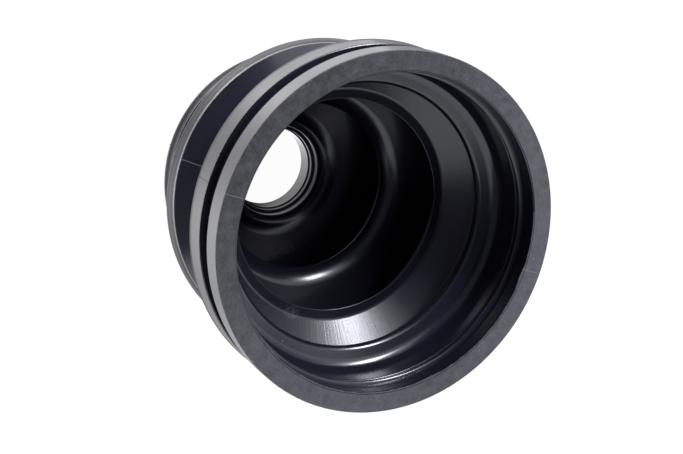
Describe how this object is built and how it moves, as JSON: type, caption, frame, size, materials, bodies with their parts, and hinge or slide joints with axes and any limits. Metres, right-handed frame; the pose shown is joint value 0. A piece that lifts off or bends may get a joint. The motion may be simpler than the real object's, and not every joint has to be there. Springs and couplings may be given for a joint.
{
  "type": "rubber bellows boot",
  "caption": "Round moulded rubber bellows boot with a stiff large collar, folded conical wall and a small collar, open at both ends.",
  "frame": {"origin": "centre of the small collar's end face, at the bottom of the part", "axes": "+Z along the boot's axis from the small collar to the mouth of the large collar, X and Y square to it (the form is round, so their direction is free)"},
  "size_m": [0.094, 0.094, 0.084],
  "materials": {
    "black_rubber": "moulded black rubber, matt on the large collar's cut face and satin on the folds"
  },
  "bodies": {
    "root": {"bellows_boot": "black_rubber"}
  },
  "joints": []
}
